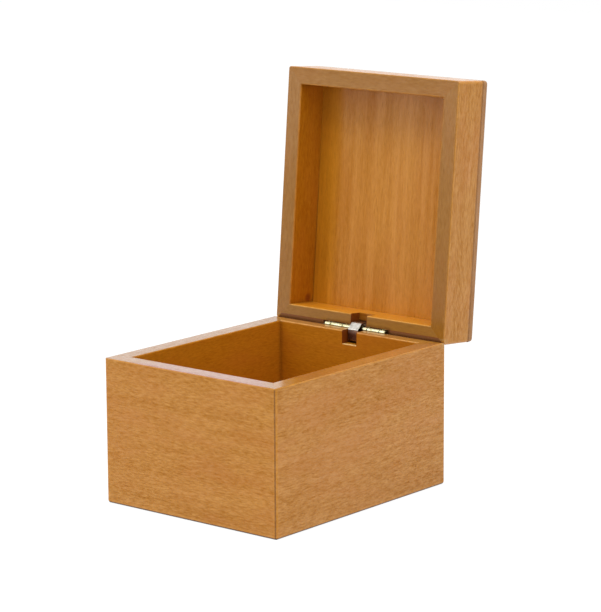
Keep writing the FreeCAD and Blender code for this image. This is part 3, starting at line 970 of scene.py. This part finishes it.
def make_leaf(name, hinge, knuckles, slot_middle):
    """A leaf of sheet, with a slot for the spring's foot and its knuckles rolled from the upper edge."""
    sheet_y = -hinge.bore_radius() - hinge.leaf_thickness / 2
    half = hinge.barrel_length / 2
    top = -hinge.groove_radius()
    leaf = strip_of_sheet(name, (-half, sheet_y, -hinge.leaf_drop), (half, sheet_y, top))
    slot_half = hinge.spring_width / 2 + hinge.spring_clearance
    slot_sides = (slot_middle - slot_half, slot_middle + slot_half)
    slot_rise = hinge.spring_thickness / 2 + hinge.spring_clearance
    slot_levels = (-hinge.spring_foot_drop - slot_rise, -hinge.spring_foot_drop + slot_rise)
    edit(leaf)
    for place in {*slot_sides, *(end for knuckle in knuckles for end in knuckle)}:
        if abs(place) < half - NEAR:
            split((place, 0, 0), (1, 0, 0))
    for level in slot_levels:
        split((0, 0, level), (0, 0, 1))
    bpy.ops.mesh.select_mode(type="FACE")
    select_faces(leaf, lambda middle, normal: (
        slot_sides[0] < middle.x < slot_sides[1] and slot_levels[0] < middle.z < slot_levels[1]
    ))
    bpy.ops.mesh.delete(type="FACE")
    bpy.ops.mesh.select_mode(type="EDGE")

    def under_knuckle(first, second):
        on_top = abs(first.z - top) < NEAR and abs(second.z - top) < NEAR
        return on_top and any(low < (first.x + second.x) / 2 < high for low, high in knuckles)

    select_edges(leaf, under_knuckle)
    run_on((0, 0, -top))
    bend_on(hinge.roll_angle, ROLL_STEPS)
    leave()
    thicken(leaf, hinge.leaf_thickness, LEAF_SOFTENING)
    return leaf


def hinge_matrix(hinge, turn):
    """The middle of the barrel, with a turn of the leaf that hangs there."""
    return Matrix.Translation((hinge.offset, HINGE_LINE.y, HINGE_LINE.z)) @ turn


class OBJECT_OT_box_base(bpy.types.Operator):
    """Model the base: four mitred walls and the floor let into them"""
    bl_idname = "object.box_base"
    bl_label = "Base"

    def execute(self, context):
        box = context.scene.box_sizes
        hinge = context.scene.hinge_sizes
        here = Matrix.Identity(4)
        make_boards(
            ("base_front_wall", "base_right_wall", "base_back_wall", "base_left_wall"), "base", here,
            wall=box.base_wall, foot=0.0, height=box.base_height, foot_round=box.base_edge_round,
            rabbet=box.floor_thickness, left_room=hinge.base_notch_left, seed=3.0,
            wear={
                "rim_tint": 0.85, "rim_lacquer": 1.6, "worn_foot_and_highlight": 0.45, "foot_shadow": 0.85,
                "back_dust_and_light": 0.2, "notch_sill": 1.0,
            },
            own_wear={
                "base_front_wall": {"joint": 0.65, "rim_lacquer": 1.55, "rim_painted_sheen": 0.13},
                "base_right_wall": {"rim_tint": 0.45, "rim_painted_sheen": 0.035},
                "base_left_wall": {"rim_lacquer": 1.5},
                "base_back_wall": {"rim_tint": 0.4, "rim_lacquer": 0.9, "rim_painted_sheen": 0.03, "back_dust_and_light": 0.9},
            },
        )
        let_in = box.base_wall - box.rabbet_depth + box.glue_gap
        size = (box.width - 2 * let_in, box.depth - 2 * let_in, box.floor_thickness)
        floor = block("base_floor", (-size[0] / 2, -size[1] / 2, 0.0), (size[0] / 2, size[1] / 2, size[2]))
        round_edges(floor, lambda first, second: box.lip_line)
        finish_panel(
            floor, "base_floor", "base", here, size,
            look_settings={"seed": 39.5, "striped": True}, look_options={"border": box.rabbet_depth},
        )
        return {"FINISHED"}


class OBJECT_OT_box_lid(bpy.types.Operator):
    """Model the lid, standing open: four mitred rails and the top panel that lies over them"""
    bl_idname = "object.box_lid"
    bl_label = "Lid"

    def execute(self, context):
        box = context.scene.box_sizes
        hinge = context.scene.hinge_sizes
        place = lid_matrix(box)
        make_boards(
            ("lid_front_rail", "lid_left_rail", "lid_back_rail", "lid_right_rail"), "lid", place,
            wall=box.lid_wall, foot=box.top_lip + box.glue_gap, height=box.lid_height,
            foot_round=box.lip_line, rabbet=None, left_room=hinge.lid_notch_left, seed=53.0,
            wear={
                "rim_tint": 1.0, "rim_lacquer": 0.85, "foot_tint": 0.8, "foot_shadow": 0.2,
                "back_dust_and_light": 0.15, "seat_shade": 0.55, "notch_floor": 0.6,
            },
            own_wear={
                # The back rail's lighter inside, which faces up to the lamps, and the left rail's darker
                # inside are painted light and shade
                "lid_back_rail": {"shift": 0.85, "rim_lacquer": 0.6, "back_dust_and_light": 1.0},
                "lid_left_rail": {"shift": -0.2, "rim_lacquer": 0.95, "knot": (50.6, -3.7, -4.1)},
                "lid_front_rail": {"rim_lacquer": 0.78},
            },
        )
        self.make_top(box, place)
        return {"FINISHED"}

    @staticmethod
    def make_top(box, place):
        """The top panel: a lip with rounded edges over the rails, and a step let down between them."""
        half_width, half_depth = box.width / 2, box.depth / 2
        low, high = (-half_width, -half_depth, 0.0), (half_width, half_depth, box.top_lip)
        panel = block("lid_top_panel", low, high)
        edit(panel, "FACE")
        select_faces(panel, lambda middle, normal: normal.z > FACING)
        bpy.ops.mesh.inset(thickness=box.lid_wall + box.glue_gap, depth=0.0)
        draw_out((0, 0, box.top_step))
        leave()

        def radius_of(first, second):
            ends = (first, second)
            inner = min(max(abs(end.x) - half_width, abs(end.y) - half_depth) for end in ends) <= -NEAR
            if inner:
                return 0.0
            if abs(first.z - second.z) > NEAR:
                return box.corner_round
            return box.lid_edge_round if first.z < NEAR else box.lip_line
        round_edges(panel, radius_of)
        size = (box.width, box.depth, box.top_lip + box.top_step)
        finish_panel(
            panel, "lid_top_panel", "lid", place, size,
            look_settings={"seed": 91.3, "shift": 0.2, "striped": True},
            look_options={"border": box.lid_wall, "lip": box.top_lip},
        )


class OBJECT_OT_box_hinge_leaves(bpy.types.Operator):
    """Model the two leaves of the hinge, rolled from sheet brass"""
    bl_idname = "object.box_hinge_leaves"
    bl_label = "Hinge leaves"

    def execute(self, context):
        hinge = context.scene.hinge_sizes
        finish = context.scene.box_finishes
        middle, inner, end = hinge.knuckle_ends()
        gap = hinge.knuckle_gap / 2
        strip_place = hinge.spring_offset - hinge.offset
        swing = Matrix.Rotation(-OPEN_ANGLE, 4, "X") @ Matrix.Rotation(math.pi, 4, "Y")
        leaves = (
            ("hinge_base_leaf", "base", Matrix.Identity(4), strip_place, (
                (-end, -inner - gap), (-middle + gap, middle - gap), (inner + gap, end),
            )),
            ("hinge_lid_leaf", "lid", swing, -strip_place, (
                (-inner + gap, -middle - gap), (middle + gap, inner - gap),
            )),
        )
        for seed, (name, body, turn, slot_middle, knuckles) in enumerate(leaves, start=1):
            leaf = make_leaf(name, hinge, knuckles, slot_middle)
            matrix = hinge_matrix(hinge, turn)
            settle(leaf, matrix)
            smooth(leaf)
            # Below the hinge line the brass goes over to painted shade
            look = bright_metal(
                f"brass_{name}", seed * 5.1, Matrix.Identity(3), matrix.to_translation(),
                bright=finish.brass, dull=finish.brass_dull, repeats=BRASS_MARKS, roughness=0.14,
                dark=finish.brass_painted_shade, depths=(0.5, -0.2),
            )
            hand_over(leaf, name, body, look)
        return {"FINISHED"}


class OBJECT_OT_box_hinge_pin(bpy.types.Operator):
    """Model the hinge pin, with both ends peened over"""
    bl_idname = "object.box_hinge_pin"
    bl_label = "Hinge pin"

    def execute(self, context):
        hinge = context.scene.hinge_sizes
        finish = context.scene.box_finishes
        radius = hinge.pin_diameter / 2
        neck = hinge.barrel_length / 2 + hinge.pin_clearance
        pin = rod("hinge_pin", (0, 0, 0), radius, 2 * neck)
        head, rise = hinge.pin_head_diameter / 2, hinge.pin_head_height
        dome = (head * head + rise * rise) / (2 * rise)
        widest = math.asin(head / dome)
        edit(pin, "FACE")
        for end in (-1, 1):
            select_faces(pin, lambda middle, normal: (
                abs(middle.x - end * neck) < NEAR and normal.x * end > FACING
            ))
            ring, at = radius, neck
            for turn in HEAD_RINGS:
                new_ring = dome * math.sin(widest * turn)
                new_at = neck + rise - dome + dome * math.cos(widest * turn)
                draw_out((end * (new_at - at), 0, 0))
                ratio = new_ring / ring
                bpy.ops.transform.resize(value=(1, ratio, ratio), center_override=(end * new_at, 0, 0))
                ring, at = new_ring, new_at
            draw_out((end * (neck + rise - at), 0, 0))
            bpy.ops.mesh.merge(type="CENTER")
        leave()
        matrix = hinge_matrix(hinge, Matrix.Identity(4))
        settle(pin, matrix)
        smooth(pin)
        # The pin shows only between the knuckles and at its heads: its dark brass is painted shade there,
        # with tarnish in its dull patches
        look = bright_metal(
            "brass_hinge_pin", 17.9, Matrix.Identity(3), matrix.to_translation(),
            bright=finish.brass_painted_shade, dull=finish.brass_tarnish, repeats=BRASS_MARKS, roughness=0.3,
        )
        hand_over(pin, "hinge_pin", "base", look)
        return {"FINISHED"}


class OBJECT_OT_box_hinge_spring(bpy.types.Operator):
    """Model the spring strip that arches over the barrel from leaf to leaf"""
    bl_idname = "object.box_hinge_spring"
    bl_label = "Hinge spring"

    def execute(self, context):
        hinge = context.scene.hinge_sizes
        finish = context.scene.box_finishes
        feet, legs, slants = self.straight_runs(hinge)
        spring = self.bent_strip(hinge, feet, legs, sum(slants))
        thicken(spring, hinge.spring_thickness, SPRING_SOFTENING)
        matrix = Matrix.Translation((hinge.spring_offset, HINGE_LINE.y, HINGE_LINE.z))
        settle(spring, matrix)
        smooth(spring)
        slope = Vector((0, math.sin(OPEN_ANGLE / 2), math.cos(OPEN_ANGLE / 2)))
        outward = Vector((0, -math.cos(OPEN_ANGLE / 2), math.sin(OPEN_ANGLE / 2)))
        # The strip goes over to painted shade where it runs down into the notches
        look = bright_metal(
            "spring_steel_hinge_spring", 29.7, [X_AXIS, slope, outward], matrix.to_translation(),
            bright=finish.steel, dull=finish.steel_dull, repeats=STEEL_MARKS, roughness=0.22,
            dark=finish.steel_dark, depths=(2.1, 0.6),
        )
        hand_over(spring, "hinge_spring", None, look)
        middle = matrix.to_translation() + outward * hinge.spring_reach
        middle - slope * slants[0]
        middle + slope * slants[1]
        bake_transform(spring)
        return {"FINISHED"}

    @staticmethod
    def straight_runs(hinge):
        """Lengths of the strip's two feet, two legs and two halves of its slant, between the bends."""
        bend = hinge.spring_bend
        run_off = bend * math.tan(OPEN_ANGLE / 4)
        feet, legs, slants = [], [], []
        for reach in (hinge.spring_base_reach, hinge.spring_lid_reach):
            shoulder = (hinge.spring_reach - reach * math.cos(OPEN_ANGLE / 2)) / math.sin(OPEN_ANGLE / 2)
            feet.append(reach - bend - hinge.bore_radius())
            legs.append(shoulder - run_off + hinge.spring_foot_drop - bend)
            slants.append((reach ** 2 + shoulder ** 2 - hinge.spring_reach ** 2) ** 0.5 - run_off)
        return feet, legs, slants

    @staticmethod
    def bent_strip(hinge, feet, legs, slant):
        """The strip's middle sheet, carried on from the foot in the base to the foot in the lid."""
        bend, drop = hinge.spring_bend, hinge.spring_foot_drop
        clear_selection()
        bpy.ops.mesh.primitive_plane_add(size=1.0)
        spring = bpy.context.object
        spring.name = "hinge_spring"
        spring.scale = (hinge.spring_width, feet[0], 1.0)
        spring.location = (0.0, -hinge.bore_radius() - feet[0] / 2, -drop)
        settle(spring)
        place = Vector((0, -hinge.bore_radius() - feet[0], -drop))
        heading = Vector((0, -1, 0))
        edit(spring)
        select_edges(spring, lambda first, second: max(first.y, second.y) < place.y + NEAR)
        for kind, amount, steps in (
            ("bend", math.pi / 2, 6),
            ("run", legs[0], 4),
            ("bend", OPEN_ANGLE / 2, 5),
            ("run", slant, 24),
            ("bend", OPEN_ANGLE / 2, 5),
            ("run", legs[1], 4),
            ("bend", math.pi / 2, 6),
            ("run", feet[1], 1),
        ):
            if kind == "run":
                run_on(heading * amount, steps)
                place = place + heading * amount
            else:
                inward = Matrix.Rotation(-math.pi / 2, 3, "X") @ heading
                centre = place + inward * bend
                bend_on(amount, steps, centre)
                turn = Matrix.Rotation(-amount, 3, "X")
                place = centre + turn @ (place - centre)
                heading = turn @ heading
        leave()
        return spring


class OBJECT_OT_box_studio(bpy.types.Operator):
    """Set up the pale floor, the soft light and the camera"""
    bl_idname = "object.box_studio"
    bl_label = "Studio"

    def execute(self, context):
        studio = context.scene.box_studio
        clear_selection()
        bpy.ops.mesh.primitive_plane_add(size=studio.floor_size, location=(0, 0, -FLOOR_DROP))
        floor = bpy.context.object
        floor.name = "studio_floor"
        settle(floor)
        material = bpy.data.materials.new("studio_floor")
        material.use_nodes = True
        material.node_tree.nodes.clear()
        tree = ShaderTree(material.node_tree)
        seen = self.seen_directly(tree)
        matte = tree.node("BsdfDiffuse", sockets={"Color": opaque([studio.floor_white] * 3)})
        glow = tree.node("Emission", sockets={"Color": opaque([studio.floor_glow] * 3)})
        shown = tree.node("AddShader", sockets={0: glow, 1: tree.node("BsdfDiffuse", sockets={
            "Color": opaque([studio.floor_shade] * 3),
        })})
        mixed = tree.node("MixShader", sockets={0: seen, 1: matte, 2: shown})
        tree.node("OutputMaterial", sockets={"Surface": mixed})
        floor.data.materials.append(material)

        world = bpy.data.worlds.new("studio_sky")
        world.use_nodes = True
        world.node_tree.nodes.clear()
        tree = ShaderTree(world.node_tree)
        seen = self.seen_directly(tree)
        soft = tree.node("Background", sockets={"Color": opaque((1, 1, 1)), "Strength": studio.sky})
        white = tree.node("Background", sockets={"Color": opaque((1, 1, 1)), "Strength": 1.0})
        mixed = tree.node("MixShader", sockets={0: seen, 1: soft, 2: white})
        tree.node("OutputWorld", sockets={"Surface": mixed})
        context.scene.world = world

        for name, place, power, size in (
            ("overhead", (0.0, -0.15, 1.15), studio.overhead, 1.2),
            ("key", (-0.55, -0.90, 0.55), studio.key, 0.9),
            ("fill", (1.05, -0.10, 0.50), studio.fill, 0.9),
        ):
            clear_selection()
            bpy.ops.object.light_add(type="AREA", location=place)
            lamp = bpy.context.object
            lamp.name = f"studio_{name}"
            lamp.data.energy = power
            lamp.data.size = size
            lamp.rotation_euler = (Vector(place) - LAMP_AIM).to_track_quat("Z", "Y").to_euler()

        clear_selection()
        bpy.ops.object.camera_add(location=studio.camera_place, rotation=studio.camera_turn)
        camera = bpy.context.object
        camera.name = "studio_camera"
        camera.data.lens = studio.lens
        camera.data.sensor_width = FRAME_WIDTH
        context.scene.camera = camera
        context.scene.view_settings.view_transform = "Standard"
        return {"FINISHED"}

    @staticmethod
    def seen_directly(tree):
        """Rays from the camera, and those that metal or glass sends on."""
        total = 0.0
        path = tree.node("LightPath").socket.node
        for name in ("Is Camera Ray", "Is Glossy Ray", "Is Transmission Ray"):
            total = Wire(tree, path.outputs[name]) + total
        return tree.math("MINIMUM", total, 1.0)


class VIEW3D_PT_wooden_box(bpy.types.Panel):
    """The steps that make the box, and the sizes and colours that they use"""
    bl_idname = "VIEW3D_PT_wooden_box"
    bl_label = "Wooden Box"
    bl_space_type = "VIEW_3D"
    bl_region_type = "UI"
    bl_category = "Wooden Box"

    def draw(self, context):
        for operator in OPERATORS:
            self.layout.operator(operator.bl_idname)
        for name in SETTINGS:
            group = getattr(context.scene, name)
            column = self.layout.column(heading=group.__doc__)
            for item in group.bl_rna.properties:
                if item.identifier not in ("rna_type", "name"):
                    column.prop(group, item.identifier)


OPERATORS = (
    OBJECT_OT_box_base,
    OBJECT_OT_box_lid,
    OBJECT_OT_box_hinge_leaves,
    OBJECT_OT_box_hinge_pin,
    OBJECT_OT_box_hinge_spring,
    OBJECT_OT_box_studio,
)
SETTINGS = {
    "box_sizes": BoxSizes,
    "hinge_sizes": HingeSizes,
    "box_finishes": Finishes,
    "box_studio": StudioSettings,
}


def register():
    """Makes the settings, the operators and the panel known to Blender."""
    for name, group in SETTINGS.items():
        bpy.utils.register_class(group)
        setattr(bpy.types.Scene, name, bpy.props.PointerProperty(type=group))
    for item in (*OPERATORS, VIEW3D_PT_wooden_box):
        bpy.utils.register_class(item)


def unregister():
    """Takes them away again."""
    for item in (VIEW3D_PT_wooden_box, *reversed(OPERATORS)):
        bpy.utils.unregister_class(item)
    for name, group in SETTINGS.items():
        delattr(bpy.types.Scene, name)
        bpy.utils.unregister_class(group)


def main():
    """Makes every piece in order, then writes down the size of the CAD model and of what was modelled."""
    register()
    bpy.ops.object.box_base()
    bpy.ops.object.box_lid()
    bpy.ops.object.box_hinge_leaves()
    bpy.ops.object.box_hinge_pin()
    bpy.ops.object.box_hinge_spring()
    bpy.ops.object.box_studio()


if __name__ == "__main__":
    main()
